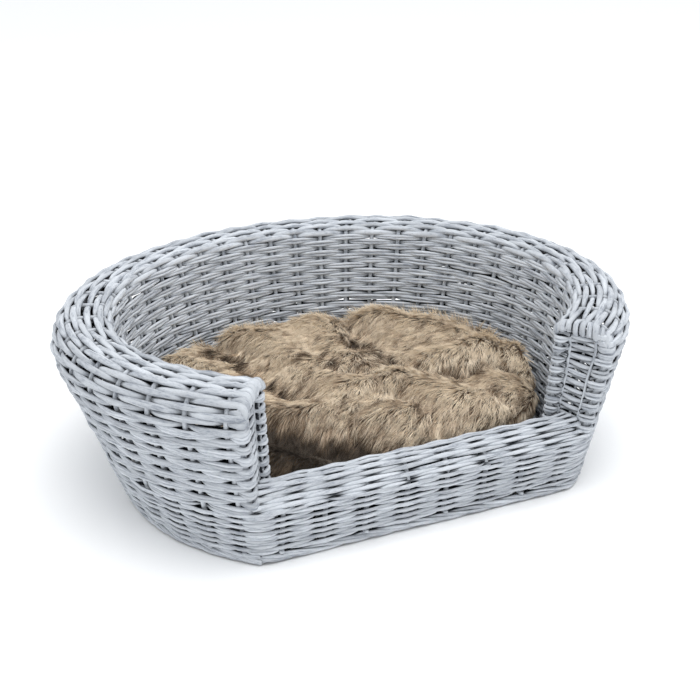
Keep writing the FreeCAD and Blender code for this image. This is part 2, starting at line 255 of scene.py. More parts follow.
    def end_normal(self, side):
        """Direction straight out of an arm end."""
        psi = side * self.end
        return side * np.array([math.cos(psi), -math.sin(psi), 0.0])


# ---- rods ----------------------------------------------------------------------------


def unit(v):
    return v / np.maximum(np.linalg.norm(v, axis=-1, keepdims=True), 1e-12)


def bend(a, corner, b, n):
    """Quadratic curve from a to b pulled towards the corner: the weights are
    (1-t)^2, 2t(1-t) and t^2."""
    t = np.linspace(0.0, 1.0, n)[:, None]
    return (1 - t) ** 2 * a + 2 * t * (1 - t) * corner + t ** 2 * b


def smooth_noise(rng, n, every):
    """Seeded noise with a knot every few samples, joined by half cosine waves."""
    knots = rng.normal(0.0, 1.0, int(n / every) + 3)
    x = np.arange(n) / every
    k = x.astype(int)
    f = 0.5 - 0.5 * np.cos(math.pi * (x - k))
    return knots[k] * (1 - f) + knots[k + 1] * f


def full(v, power=0.8):
    """Sine or cosine pushed outwards, sign(v) * |v| ** power, which flattens a round rod."""
    return np.sign(v) * np.abs(v) ** power


class Bundle:
    """Rods gathered into one mesh. A rod is a flattened ellipse carried along a path: ring
    point = path + thick * full(cos a) * normal + wide * full(sin a) * binormal."""

    def __init__(self, sides):
        self.sides = sides
        self.verts, self.quads, self.caps = [], [], []
        self.relief, self.tint, self.run = [], [], []
        self.count = 0

    def add(self, path, normal, thick, wide, painted_light_cue, tint):
        n, k = len(path), self.sides
        thick, wide, painted_light_cue = (np.broadcast_to(np.asarray(v, float), (n,))
                             for v in (thick, wide, painted_light_cue))
        along = unit(np.gradient(path, axis=0))
        bulge = 0.45  # how far the end caps stand out, in half thicknesses
        path = np.concatenate([path[:1] - along[:1] * thick[0] * bulge, path,
                               path[-1:] + along[-1:] * thick[-1] * bulge])
        normal, along = (np.concatenate([v[:1], v, v[-1:]]) for v in (normal, along))
        shrink = np.concatenate([[0.5], np.ones(n), [0.5]])
        thick, wide, painted_light_cue = (np.concatenate([v[:1], v, v[-1:]]) for v in (thick, wide, painted_light_cue))
        side = unit(np.cross(along, normal))
        out = np.cross(side, along)
        a = (np.arange(k) + 0.5) / k * 2 * math.pi
        ring = (full(np.cos(a))[None, :, None] * out[:, None] * (thick * shrink)[:, None, None]
                + full(np.sin(a))[None, :, None] * side[:, None] * (wide * shrink)[:, None, None])
        self.verts.append((path[:, None] + ring).reshape(-1, 3))
        grid = self.count + np.arange((n + 2) * k).reshape(n + 2, k)
        nxt = np.roll(grid, -1, axis=1)
        self.quads.append(np.stack([grid[:-1], nxt[:-1], nxt[1:], grid[1:]], -1).reshape(-1, 4))
        self.caps += [grid[0][::-1], grid[-1]]
        # Painted light level per point: highest on the outward face of a rod that lies out, lower
        # on its sides and where the cue is low; the material paints shade from it.
        self.relief.append(np.clip(0.36 + 0.3 * painted_light_cue[:, None] + 0.36 * np.cos(a), 0, 1).ravel())
        self.tint.append(np.full((n + 2) * k, tint))
        dist = np.concatenate([[0.0], np.cumsum(np.linalg.norm(np.diff(path, axis=0), axis=1))])
        self.run.append((dist, float(2 * math.pi * np.sqrt((thick ** 2 + wide ** 2) / 2).max())))
        self.count += (n + 2) * k

    def atlas(self):
        """Place of each rod's unrolled strip, laid on shelves of a square sheet."""
        gap = 2.0
        sheet = math.sqrt(sum((d[-1] + gap) * (h + gap) for d, h in self.run)) * 1.1
        sheet = max(sheet, max(d[-1] for d, _ in self.run) + gap)
        x = y = shelf = 0.0
        spots = []
        for dist, h in self.run:
            if x + dist[-1] + gap > sheet:
                x, y, shelf = 0.0, y + shelf + gap, 0.0
            spots.append((x, y))
            x += dist[-1] + gap
            shelf = max(shelf, h)
        return spots, 1.0 / max(sheet, y + shelf + gap)

    def build(self, name, material, body, *nodes, slot="willow"):
        k = self.sides
        spots, scale = self.atlas()
        rod_uv, sheet_uv, cap_rod, cap_sheet = [], [], [], []
        for (dist, h), (x, y) in zip(self.run, spots):
            u0, u1 = np.repeat(dist[:-1], k), np.repeat(dist[1:], k)
            v0 = np.tile(np.arange(k) / k, len(dist) - 1)
            v1 = v0 + 1.0 / k
            u = np.stack([u0, u0, u1, u1], -1)
            v = np.stack([v0, v1, v1, v0], -1)
            rod_uv.append(np.stack([u * MM, v], -1).reshape(-1, 2))
            sheet_uv.append(np.stack([(x + u) * scale, (y + v * h) * scale], -1).reshape(-1, 2))
            turn = np.arange(k) / k
            for d, t in ((0.0, turn[::-1]), (dist[-1], turn)):
                cap_rod.append(np.stack([np.full(k, d * MM), t], -1))
                cap_sheet.append(np.stack([np.full(k, (x + d) * scale), (y + t * h) * scale], -1))
        verts = np.concatenate(self.verts) * MM
        quads, caps = np.concatenate(self.quads), np.stack(self.caps)
        mesh = bpy.data.meshes.new(name)
        mesh.vertices.add(len(verts))
        mesh.vertices.foreach_set("co", verts.ravel())
        corner = np.concatenate([quads.ravel(), caps.ravel()])
        mesh.loops.add(len(corner))
        mesh.loops.foreach_set("vertex_index", corner)
        mesh.polygons.add(len(quads) + len(caps))
        starts = np.concatenate([np.arange(len(quads)) * 4,
                                 len(quads) * 4 + np.arange(len(caps)) * k])
        mesh.polygons.foreach_set("loop_start", starts)
        mesh.update(calc_edges=True)
        for layer, parts in (("Rod", rod_uv + cap_rod), ("OFBake", sheet_uv + cap_sheet)):
            uv = mesh.uv_layers.new(name=layer)
            uv.data.foreach_set("uv", np.concatenate(parts).ravel().astype(np.float32))
        for attr, values in (("relief", self.relief), ("tint", self.tint)):
            data = mesh.attributes.new(attr, "FLOAT", "POINT")
            data.data.foreach_set("value", np.concatenate(values).astype(np.float32))
        mesh.shade_smooth()
        mesh.validate()
        return place(mesh, name, material, body, *nodes, slot=slot)


def place(mesh, name, material, body, *nodes, slot):
    """Put a finished mesh in the scene, on its body, for the CAD nodes it stands for."""
    obj = bpy.data.objects.new(name, mesh)
    bpy.context.scene.collection.objects.link(obj)
    mesh.materials.clear()
    for m in material if isinstance(material, list) else [material]:
        mesh.materials.append(m)
    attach(obj, body)
    if nodes:
        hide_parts(*nodes)
    return obj


class Weaver:
    """Cuts long rows into separate willow rods, each thick at its butt and thin at its tip,
    with the ends lapped side by side."""

    def __init__(self, bundle, rng, longest, shortest):
        self.bundle, self.rng = bundle, rng
        self.longest, self.shortest = longest, shortest

    def weave(self, path, normal, thick, wide, painted_light_cue, lap=24.0):
        """Lays one row. Width falls linearly from butt to tip; over the lap both ends
        shrink, move sideways by 0.42 of the width and sink by 2.2 * (1 - share)^3 mm."""
        rng = self.rng
        n = len(path)
        dist = np.concatenate([[0.0], np.cumsum(np.linalg.norm(np.diff(path, axis=0), axis=1))])
        side = unit(np.cross(unit(np.gradient(path, axis=0)), normal))
        start = 0.0
        while start < dist[-1] - 1.0:
            stop = start + rng.uniform(self.shortest, self.longest)
            if dist[-1] - stop < self.shortest * 0.6:
                stop = dist[-1]
            a = max(0, np.searchsorted(dist, start - lap))
            b = min(n, np.searchsorted(dist, stop) + 1)
            s = dist[a:b] - dist[a]
            left = s[-1] - s
            taper = 1.09 - 0.2 * s / max(s[-1], 1.0)
            head = np.clip(s / lap, 0, 1) if a > 0 else np.ones(b - a)
            tail = np.clip(left / lap, 0, 1) if b < n else np.ones(b - a)
            squeeze = 0.62 + 0.38 * np.minimum(head, tail)
            shift = (wide[a:b] * 0.42) * ((1 - head) - (1 - tail))
            dip = 2.2 * ((1 - head) ** 3 + (1 - tail) ** 3)
            p = path[a:b] + side[a:b] * shift[:, None] - normal[a:b] * dip[:, None]
            size = rng.normal(1.0, 0.06)
            if b - a > 3:
                self.bundle.add(p, normal[a:b], thick[a:b] * taper * squeeze ** 0.5 * size,
                                wide[a:b] * taper * squeeze * size, painted_light_cue[a:b], rng.uniform(0, 1))
            start = stop


def pair(weaver, path, normal, thick, wide, painted_light_cue, spread, rng):
    """Lays two rods side by side: each is moved across the row by the spread."""
    side = unit(np.cross(unit(np.gradient(path, axis=0)), normal))
    for way in (-1.0, 1.0):
        sway = 0.12 * smooth_noise(rng, len(path), 16)
        shift = side * (way * spread * (1 + sway))[:, None]
        sink = normal * (0.25 * smooth_noise(rng, len(path), 20))[:, None]
        size = rng.normal(1.0, 0.05)
        weaver.weave(path + shift - sink, normal, thick * size, wide * size, painted_light_cue)


def in_and_out(number):
    """How far out a rod lies, its place counted in uprights: 1 where it passes in front of
    one (even numbers), -1 where it passes behind one (odd numbers), 0.55 between. With d
    the distance from the nearest odd number, the bumps are exp(-((1 - d) / 0.26)^2) and
    exp(-(d / 0.24)^2). Gives the three together: out, front bump, back bump."""
    d = np.abs(number % 2.0 - 1.0)
    front = np.exp(-((1.0 - d) / 0.26) ** 2)
    under = np.exp(-(d / 0.24) ** 2)
    return 0.55 + 0.45 * front - 1.55 * under, front, under


def horseshoe_row(wall, rng, zone, t, parity, pitch, thick, hook):
    """One row along the horseshoe. Its depth under the surface is stake depth - 0.6 - sway *
    out * (stake radius + half thickness) plus a little noise, with out from in_and_out at
    the place in stakes + parity. At the arm ends a row that is outside turns round the end
    post and tucks in behind it."""
    s = wall.s
    per = 7  # samples from one stake to the next
    edge = 9.0 / wall.step  # the row starts 9 mm inside the end
    n = int(wall.count * per)
    i = np.linspace(-0.5 + edge, wall.count - 0.5 - edge, n)
    last = wall.count - 1.0
    place_no = np.interp(i, [-0.5, 0.0, last, last + 0.5], [-1.0, 0.0, last, last + 1.0])
    flat = in_and_out(place_no + parity)[0]
    sway = 0.78 if zone == "rim" else 0.88
    depth = s.stake_depth - 0.6 - sway * flat * (s.stake_r + thick) \
        + 0.35 * smooth_noise(rng, n, 12)
    wob = t + (0.09 * smooth_noise(rng, n, 30) + 0.06 * smooth_noise(rng, n, 8)) \
        * pitch / wall.length_of[zone]
    path, normal = wall.at(wall.psi(i), zone, wob, depth)
    parts = [(path, normal, flat)]
    for side, at_start in ((-1, True), (1, False)):
        out = wall.end_normal(side)
        psi = np.array([side * wall.end])
        outside = math.cos(math.pi * ((-1.0 if at_start else last + 1.0) + parity)) > 0
        tail = path[0] if at_start else path[-1]
        tail_n = normal[0] if at_start else normal[-1]

        base, face = (v[0] for v in wall.at(psi, zone, t, 0.0))
        flat_in = np.array([face[0], face[1], 0.0])
        inwards = -unit(flat_in) if np.linalg.norm(flat_in) > abs(face[2]) * 1.25 \
            else np.array([0.0, 0.0, -1.0])

        def on_end(d, back):
            return base + inwards * d - out * back

        if outside or zone == "rim":
            r = thick + 0.2
            corner, b = on_end(r, r), on_end(r + 7.5, r)
            arc = bend(tail, corner, b, 8)[1:]
            down = np.linspace(0, 1, 4)[1:, None] * (on_end(hook, r + 0.5) - b) + b
            tuck = bend(down[-1], on_end(hook + 3.0, r + 1.0), on_end(hook + 4.0, r + 8.0), 5)[1:]
            extra = np.concatenate([arc, down, tuck])
            turn = np.concatenate([np.linspace(0, 1, 7), np.ones(len(extra) - 7)])[:, None]
            extra_n = unit(tail_n * (1 - turn) + out * turn)
            # The hooked ends fade towards painted shade where they tuck in behind the post.
            piece_painted_light_cue = np.concatenate([np.full(len(extra) - 4, 1.0), [0.7, 0.4, 0.0, -0.3]])
        else:
            extra = bend(tail, on_end(thick + 13.0, 7.0), on_end(thick + 16.0, 4.0), 4)[1:]
            # Painted shade on the short ends that tuck in behind the post.
            extra_n, piece_painted_light_cue = np.repeat(tail_n[None], 3, 0), np.full(3, -0.45)
        piece = (extra, extra_n, piece_painted_light_cue)
        parts = [tuple(v[::-1] for v in piece)] + parts if at_start else parts + [piece]
    return [np.concatenate([p[k] for p in parts]) for k in range(3)]


# ---- materials -----------------------------------------------------------------------


class Value:
    """A shader socket; arithmetic on it adds Math nodes."""

    def __init__(self, tree, socket):
        self.tree, self.socket = tree, socket

    def math(self, op, *others):
        node = self.tree.nodes.new("ShaderNodeMath")
        node.operation = op
        for k, v in enumerate((self,) + others):
            if isinstance(v, Value):
                self.tree.links.new(v.socket, node.inputs[k])
            else:
                node.inputs[k].default_value = v
        return Value(self.tree, node.outputs[0])

    def swapped(self, op, first):
        node = self.tree.nodes.new("ShaderNodeMath")
        node.operation = op
        node.inputs[0].default_value = first
        self.tree.links.new(self.socket, node.inputs[1])
        return Value(self.tree, node.outputs[0])

    def __add__(self, o):
        return self.math("ADD", o)

    def __radd__(self, o):
        return self.swapped("ADD", o)

    def __sub__(self, o):
        return self.math("SUBTRACT", o)

    def __rsub__(self, o):
        return self.swapped("SUBTRACT", o)

    def __mul__(self, o):
        return self.math("MULTIPLY", o)

    def __rmul__(self, o):
        return self.swapped("MULTIPLY", o)

    def __truediv__(self, o):
        return self.math("DIVIDE", o)

    def __pow__(self, o):
        return self.math("POWER", o)

    def clamp(self):
        return self.math("MAXIMUM", 0.0).math("MINIMUM", 1.0)


class Finish:
    """A material on one Principled shader."""

    def __init__(self, name, **numbers):
        self.material = bpy.data.materials.new(name)
        self.material.use_nodes = True
        self.tree = self.material.node_tree
        self.shader = self.tree.nodes["Principled BSDF"]
        for key, value in numbers.items():
            self.shader.inputs[key.replace("_", " ")].default_value = value

    def node(self, kind, out=0, settings=None, **inputs):
        """Any other node: settings are its properties, inputs its sockets by name."""
        node = self.tree.nodes.new(kind)
        for key, value in (settings or {}).items():
            setattr(node, key, value)
        for key, value in inputs.items():
            socket = node.inputs[int(key[1:])] if key[0] == "i" and key[1:].isdigit() \
                else node.inputs[key.replace("_", " ")]
            if isinstance(value, Value):
                self.tree.links.new(value.socket, socket)
            else:
                socket.default_value = value
        return Value(self.tree, node.outputs[out])

    def attribute(self, name):
        return self.node("ShaderNodeAttribute", 2, {"attribute_name": name})

    def noise(self, vector, scale, detail=3.0, roughness=0.55):
        return self.node("ShaderNodeTexNoise", 0, None, Vector=vector, Scale=scale,
                         Detail=detail, Roughness=roughness)

    def mix(self, factor, a, b):
        """Colour mixed from a to b."""
        return self.node("ShaderNodeMix", 2, {"data_type": "RGBA"}, i0=factor, i6=a, i7=b)

    def step(self, value, low, high):
        """0 below low, 1 above high, smooth between."""
        return self.node("ShaderNodeMapRange", 0, {"interpolation_type": "SMOOTHSTEP"},
                         Value=value, From_Min=low, From_Max=high)

    def feed(self, socket, value):
        self.tree.links.new(value.socket, self.shader.inputs[socket])

    def bump(self, height, strength, distance):
        self.feed("Normal", self.node("ShaderNodeBump", 0, None, Height=height,
                                      Strength=strength, Distance=distance))


def rgba(c, k=1.0):
    return (c[0] * k, c[1] * k, c[2] * k, 1.0)


def washed_willow(name, colours, woven):
    """Whitewashed willow: pale brushed wash with grey-blue stain where it is worn, fine streaks
    along the rod. Painted shade darkens the sides of each rod and the stretches that dip behind
    an upright, nearly to black. Woven rods carry their own length coordinate."""
    f = Finish(name, Specular_IOR_Level=0.2)
    if woven:
        uv = f.node("ShaderNodeUVMap", 0, {"uv_map": "Rod"})
        tint, relief = f.attribute("tint"), f.attribute("relief")
        offset = f.node("ShaderNodeCombineXYZ", 0, None, X=tint * 31.0, Y=0.0, Z=tint * 40.0)
        long_way = f.node("ShaderNodeVectorMath", 0, {"operation": "MULTIPLY"},
                          i0=uv, i1=(95.0, 7.0, 1.0))
        place_at = f.node("ShaderNodeVectorMath", 0, {"operation": "ADD"}, i0=long_way, i1=offset)
    else:
        place_at = f.node("ShaderNodeVectorMath", 0, {"operation": "MULTIPLY"},
                          i0=f.node("ShaderNodeTexCoord", 3), i1=(300.0, 300.0, 110.0))
        tint = f.noise(place_at, 0.2)
        relief = 0.75 + tint * 0.1
    streak = f.noise(place_at, 1.7, 6.0, 0.78)
    patch = f.noise(place_at, 0.3, 3.0, 0.6)
    worn = f.step(streak + patch * 0.6, 0.72, 1.02)
    bright = f.step(streak - patch * 0.3, 0.28, 0.5)
    pale = f.mix(tint * 0.5 + bright * 0.5, rgba(colours.wash, 0.72), rgba(colours.wash, 1.18))
    stained = f.mix(worn * 0.78, pale, rgba(colours.stain_and_painted_shade, 1.5))
    # Painted shade: where the painted light level is low (a rod's sides, rods dipping behind an
    # upright, tucked ends) the colour goes to a fifth of the stain colour, near black.
    painted_light_mask = f.step(relief, 0.3, 0.68)
    f.feed("Base Color", f.mix(painted_light_mask, rgba(colours.stain_and_painted_shade, 0.2), stained))
    f.feed("Roughness", 0.6 + streak * 0.3)
    f.bump(streak * 0.8 + patch * 0.5, 0.6, 0.0016)
    return f.material


def colours():
    return bpy.context.scene.basket_colours


def new_wall():
    wall = Wall(bpy.context.scene.basket_sizes)
    wall.length_of = {z: wall.length(z) for z in ("outer", "rim", "inner")}
    return wall


def material(name, maker, *args):
    """The named material, made once."""
    return bpy.data.materials.get(name) or maker(name, colours(), *args)


# ---- operators -----------------------------------------------------------------------


class WEAVE_OT_horseshoe(Operator):
    """Weave the upper outer wall, the rim and the inner wall, row by row"""

    bl_idname = "weave.horseshoe"
    bl_label = "Weave the walls and rim"

    def execute(self, context):
        wall = new_wall()
        s = wall.s
        willow = material("washed_willow_rods", washed_willow, True)
        # zone, row spacing aimed at, half thickness of a rod, piece, CAD node
        zones = (
            ("outer", 6.0, 1.8, "outer_wall_rods", "outer_wall_weave"),
            ("rim", 7.0, 2.3, "rim_rods", "rim_weave"),
            ("inner", 5.4, 1.7, "inner_wall_rods", "inner_wall_weave"),
        )
        for k, (zone, aim, thick, name, node) in enumerate(zones):
            rng = np.random.default_rng(s.seed + 100 * k)
            bundle = Bundle(s.rod_sides if zone == "rim" else WALL_SIDES)
            weaver = Weaver(bundle, rng, 520.0, 260.0)
            rows = max(1, round(wall.length_of[zone] / aim))
            pitch = wall.length_of[zone] / rows
            for j in range(rows):
                t = (j + 0.5) / rows
                hook = {"outer": 15.0, "inner": 11.5, "rim": 14.0 if t < 0.72 else 9.5}[zone]
                hook += rng.uniform(-1.0, 1.2)
                path, normal, c = horseshoe_row(wall, rng, zone, t, j % 2, pitch, thick, hook)
                n = np.ones(len(path))
                if zone == "rim":
                    wide = pitch * (0.4 + 0.14 * np.maximum(c - FLUSH, 0)) \
                        * (1 + 0.06 * smooth_noise(rng, len(n), 25))
                    weaver.weave(path, normal, thick * n, wide, c)
                else:
                    spread = pitch * np.interp(c, BEHIND_TO_FRONT, [0.09, 0.26, 0.31])
                    wide = pitch * np.interp(c, BEHIND_TO_FRONT, [0.20, 0.295, 0.33])
                    pair(weaver, path, normal, thick * n, wide, c, spread, rng)
            if zone == "outer":
                self.low_band(wall, rng, weaver)
            bundle.build(name, willow, "basket", node)
        return {"FINISHED"}

    def low_band(self, wall, rng, weaver):
        """One long spiral of thin rods from the foot to the sill line; the number of
        uprights in a turn is odd, so each round falls opposite to the last."""
        s = wall.s
        pitch, thick, low, high = 3.15, 1.5, 9.9, s.sill_front - 0.3
        rounds = (high - low) / pitch
        path, nrm, g, turn = closed_round(wall, rounds, 8, lambda g, turn: low + pitch * g / turn)
        knots = [-0.5, 0.0, wall.count - 1.0, wall.count - 0.5, wall.count, turn - 1.0, turn - 0.5]
        number = [-1.0, 0.0, wall.count - 1.0, wall.count, wall.count + 1.0, turn, turn + 1.0]
        c, front, under = in_and_out(np.interp(g % turn - 0.5, knots, number)
                                     + np.floor(g / turn) * (turn + 2))
        for corner in (0.0, wall.count, turn):
            c = FLUSH + (c - FLUSH) * (1 - 0.9 * np.exp(-((g % turn - corner) / 0.5) ** 2))
        depth = 5.4 - 0.9 * c * (s.stake_r + thick) + 0.3 * smooth_noise(rng, len(g), 12)
        path = path - nrm * depth[:, None]
        path[:, 2] += smooth_noise(rng, len(g), 18) * 0.25
        wide = pitch * (0.52 + 0.17 * front - 0.1 * under)
        weaver.weave(path, nrm, np.full(len(g), thick), wide, c)


def closed_round(wall, rounds, per, height):
    """Surface points and normals of a line that runs round the horseshoe and straight back
    across the front. The place g is counted in uprights from the left arm end, the height
    is a function of g, and both front corners are rounded by a short running mean."""
    n_front = 8
    turn = wall.count + n_front
    n = int(rounds * turn * per)
    g = np.arange(n) / per
    i = g % turn - 0.5
    on_front = i > wall.count - 0.5
    psi = np.where(on_front, wall.end, wall.psi(np.minimum(i, wall.count - 0.5)))
    pts, nrm = wall.at(psi, "low", height(g, turn), 0.0)
    share = np.clip((i - (wall.count - 0.5)) / n_front, 0, 1)
    slope = math.radians(9.4)
    pts[:, 0] = np.where(on_front, pts[:, 0] * (1 - 2 * share), pts[:, 0])
    nrm = np.where(on_front[:, None], [0.0, -math.cos(slope), -math.sin(slope)], nrm)
    kernel = np.array([0.08, 0.14, 0.18, 0.2, 0.18, 0.14, 0.08])
    pts, nrm = (np.stack([np.convolve(np.pad(v[:, k], 3, "edge"), kernel, "valid")
                          for k in range(3)], 1) for v in (pts, nrm))
    return pts, unit(nrm), g, turn


class WEAVE_OT_arm_ends(Operator):
    """Fill both arm ends between their posts with thin rods"""

    bl_idname = "weave.arm_ends"
    bl_label = "Weave the arm ends"

    def execute(self, context):
        wall = new_wall()
        s = wall.s
        willow = material("washed_willow_rods", washed_willow, True)
        for name, side in (("left", -1), ("right", 1)):
            rng = np.random.default_rng(s.seed + 7 + side)
            bundle = Bundle(7)
            psi = np.array([side * wall.end])
            out = wall.end_normal(side)
            ray = np.array([math.sin(psi[0]), math.cos(psi[0]), 0.0])
            c1z = np.ravel(wall.section(psi)[2])[0]
            low_r, top_r = ([wall.at(psi, zone, t, depth)[0][0] @ ray for zone, t, depth in ends]
                            for ends in ((("outer", 0.0, 9.0), ("inner", 0.6, 7.0)),
                                         (("outer", 1.0, 9.0), ("inner", 0.0, 7.0))))
            # Rods cross from the outer post's radius to the inner post's, each a shallow
            # cosine in height and a full wave in depth, one place further on every row.
            pitch, low_z = 4.4, 62.0
            for k in range(int((c1z + 19.0 - low_z) / pitch)):
                z0 = low_z + pitch * k
                m = (z0 - low_z) / (c1z - low_z)
                ra = low_r[0] + (top_r[0] - low_r[0]) * min(m, 1.0)
                rc = low_r[1] + (top_r[1] - low_r[1]) * min(m, 1.0)
                ra -= 24.0 - math.sqrt(max(24.0 ** 2 - max(z0 - c1z + 8.0, 0.0) ** 2, 0.0))
                u = np.linspace(0.0, 1.0, 26)
                r = ra + (rc - ra) * u
                z = z0 - 3.1 * np.cos(math.pi * u) * (1 if m < 0.9 else 0.4) + rng.normal(0, 0.25)
                c = np.cos(math.pi * (2 * u + k))
                back = 8.6 - 1.9 * c
                back = back + 5.0 * (np.clip(1 - u / 0.07, 0, 1)
                                     + np.clip(1 - (1 - u) / 0.07, 0, 1))
                path = r[:, None] * ray + UP * z[:, None] - out * back[:, None]
                size = 1.0 + 0.08 * rng.normal(0, 1, 1)[0]
                # Painted shade: rods are darker where they dip behind an upright and darkest at
                # both ends, under the post hooks.
                shade = 0.7 * c - 1.2 * (np.abs(u - 0.5) > 0.34)
                bundle.add(path, np.repeat(out[None], 26, 0), 1.75 * size * np.ones(26),
                           pitch * (0.44 + 0.08 * np.maximum(c, 0)) * size, shade, rng.uniform())
            for u, deep in ((0.25, 6.0), (0.5, 10.5), (0.78, 7.4)):
                z = np.linspace(60.0, c1z + 9.0, 30)
                m = np.clip((z - low_z) / (c1z - low_z), 0, 1)
                ra = low_r[0] + (top_r[0] - low_r[0]) * m
                rc = low_r[1] + (top_r[1] - low_r[1]) * m
                r = ra + (rc - ra) * u
                path = r[:, None] * ray + UP * z[:, None] - out * deep
                path = path + ray * (0.4 * smooth_noise(rng, 30, 6))[:, None]
                bundle.add(path, np.repeat(out[None], 30, 0), 1.3, 1.4, 0.3, rng.uniform())
            bundle.build(name + "_end_rods", willow, "basket", name + "_end_weave")
        return {"FINISHED"}


class WEAVE_OT_sill(Operator):
    """Weave the top and the inside of the low front sill"""

    bl_idname = "weave.sill"
    bl_label = "Weave the sill"

    def execute(self, context):
        wall = new_wall()
        s = wall.s
        willow = material("washed_willow_rods", washed_willow, True)
        (lo, hi), (in_lo, _) = box_mm("sill_top_weave"), box_mm("sill_inner_weave")
        y0, z0, y1, z1 = lo[1], s.sill_front, hi[1], hi[2]
        cy, cz, r = y1 - s.sill_round, z1 - s.sill_round, s.sill_round
        d = math.hypot(y0 - cy, z0 - cz)
        touch = math.atan2(z0 - cz, y0 - cy) - math.acos(r / d)
        touch %= 2 * math.pi
        slope = math.sqrt(d * d - r * r)
        arc, drop = r * touch, cz - in_lo[2]
        turned = slope + arc
        # The run goes up the slope, round the arc by angle run / radius, then straight down.
        pieces = (("sill_top_rods", "sill_top_weave", 0.0, turned, 3.15, 1.35),
                  ("sill_inner_rods", "sill_inner_weave", turned, turned + drop, 5.0, 1.9))
        for k, (name, node, start, stop, aim, thick) in enumerate(pieces):
            rng = np.random.default_rng(s.seed + 31 + k)
            bundle = Bundle(7)
            weaver = Weaver(bundle, rng, 300.0, 150.0)
            rows = round((stop - start) / aim)
            pitch = (stop - start) / rows
            for j in range(rows):
                run = start + pitch * (j + 0.5)
                n = 130
                u = np.linspace(-1.0, 1.0, n)
                place_no = (u * 0.5 + 0.5) * 9.0
                c, front, under = in_and_out(place_no + j)
                if start == 0.0 and j == 0:
                    under = np.exp(-((place_no - np.round(place_no)) / 0.26) ** 2)
                    c, front = FLUSH - 1.55 * under, 0 * under
                depth = 4.7 - 3.0 * c + 0.3 * smooth_noise(rng, n, 12)
                run = run + 0.45 * smooth_noise(rng, n, 22)
                ang = np.clip(touch - (run - slope) / r, 0.0, touch)
                ny, nz = np.cos(ang), np.sin(ang)
                below = np.maximum(run - slope - arc, 0.0)
                along = np.minimum(run, slope)
                y = np.where(run < slope, y0 + along * math.sin(touch), cy + r * ny)
                z = np.where(run < slope, z0 - along * math.cos(touch), cz + r * nz) - below
                y, z = y - depth * ny, z - depth * nz
                reach_x = -y * math.tan(math.pi - wall.end) + 5.0
                path = np.stack([u * reach_x, y, z], 1)
                normal = np.stack([0 * u, ny, nz], 1)
                wide = pitch * (0.52 + 0.17 * front - 0.08 * under)
                weaver.weave(path, normal, np.full(n, thick), wide, c)
            bundle.build(name, willow, "basket", node)
        return {"FINISHED"}


class WEAVE_OT_foot(Operator):
    """Twist the border round the foot and weave the floor"""

    bl_idname = "weave.foot"
    bl_label = "Foot border and floor"

    def execute(self, context):
        wall = new_wall()
        s = wall.s
        willow = material("washed_willow_rods", washed_willow, True)
        rng = np.random.default_rng(s.seed + 51)
        bundle = Bundle(8)
        strands = 4
        for strand in range(strands):
            pts, nrm, g, turn = closed_round(wall, 1.05, 10, lambda g, turn: 4.6 + 0 * g)
            a = 2 * math.pi * (g / turn * 17 + strand / strands) \
                + 0.25 * smooth_noise(rng, len(g), 16)
            inwards = 3.7 + 1.5 * (1 - np.cos(a)) + 0.3 * smooth_noise(rng, len(g), 12)
            path = pts - nrm * inwards[:, None]
            path[:, 2] += 2.5 * np.sin(a)
            weaver = Weaver(bundle, rng, 420.0, 240.0)
            # The cue paints each twisted strand darker, as painted shade, where it turns inwards.
            weaver.weave(path, nrm, np.full(len(g), 1.75), np.full(len(g), 1.95),
                         0.6 * np.cos(a), 18.0)
        pts, nrm, g, turn = closed_round(wall, 1.0, 10, lambda g, turn: 10.4 + 0 * g)
        knob = np.array([6.0, 3.6, 2.0, 1.3, 0.9])
        for k in range(5, len(g), 10):
            path = pts[k] - nrm[k] * knob[:, None]
            bundle.add(path, np.repeat([[0.0, 0.0, 1.0]], 5, 0),
                       np.array([1.7, 1.8, 1.7, 1.3, 0.7]),
                       np.array([2.3, 2.4, 2.3, 1.8, 1.0]), 1.0, rng.uniform())
        bundle.build("foot_border_rods", willow, "basket", "foot_border")

        lo, hi = box_mm("base_weave")
        stick_lo, stick_hi = box_mm("base_sticks")
        bundle = Bundle(5)
        a, b, yc = wall.base
        level = (stick_lo[2] + stick_hi[2]) / 2
        first, step = stick_lo[1] + 2.3, 37.0
        pitch = 4.3
        for k, x in enumerate(np.arange(-hi[0] + 3.0, hi[0] - 2.0, pitch)):
            chord = b * math.sqrt(max(1 - (abs(x) / (a - 10.5)) ** 2, 0.0))
            y_hi, y_lo = yc + chord - 10.5, max(yc - chord + 10.5, lo[1] + 1.0)
            if y_hi - y_lo < 20.0:
                continue
            y = np.linspace(y_lo, y_hi, max(6, int((y_hi - y_lo) / 6.5)))
            c = np.cos(math.pi * ((y - first) / step + k))
            path = np.stack([x + 0.2 * smooth_noise(rng, len(y), 9), y, level + 3.9 * c], 1)
            normal = np.repeat([[0.0, 0.0, 1.0]], len(y), 0)
            bundle.add(path, normal, 1.6, pitch * 0.5, 0.5 * c, rng.uniform())
        bundle.build("floor_rods", willow, "basket", "base_weave")
        return {"FINISHED"}


class WEAVE_OT_frame_rods(Operator):
    """Stain the posts, stakes, hoops, rails and floor sticks"""

    bl_idname = "weave.frame_rods"
    bl_label = "Stain the frame rods"

    def execute(self, context):
        washed = material("washed_willow_frame", washed_willow, False)
        for node in ("left_outer_post", "left_inner_post", "right_outer_post", "right_inner_post",
                     "wall_stakes", "sill_stakes", "base_sticks", "outer_rim_hoop",
                     "inner_rim_hoop", "floor_hoop", "sill_front_rail", "sill_back_rail"):
            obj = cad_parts[node]
            obj.data.materials.clear()
            obj.data.materials.append(washed)
        return {"FINISHED"}


# ---- cushion -------------------------------------------------------------------------

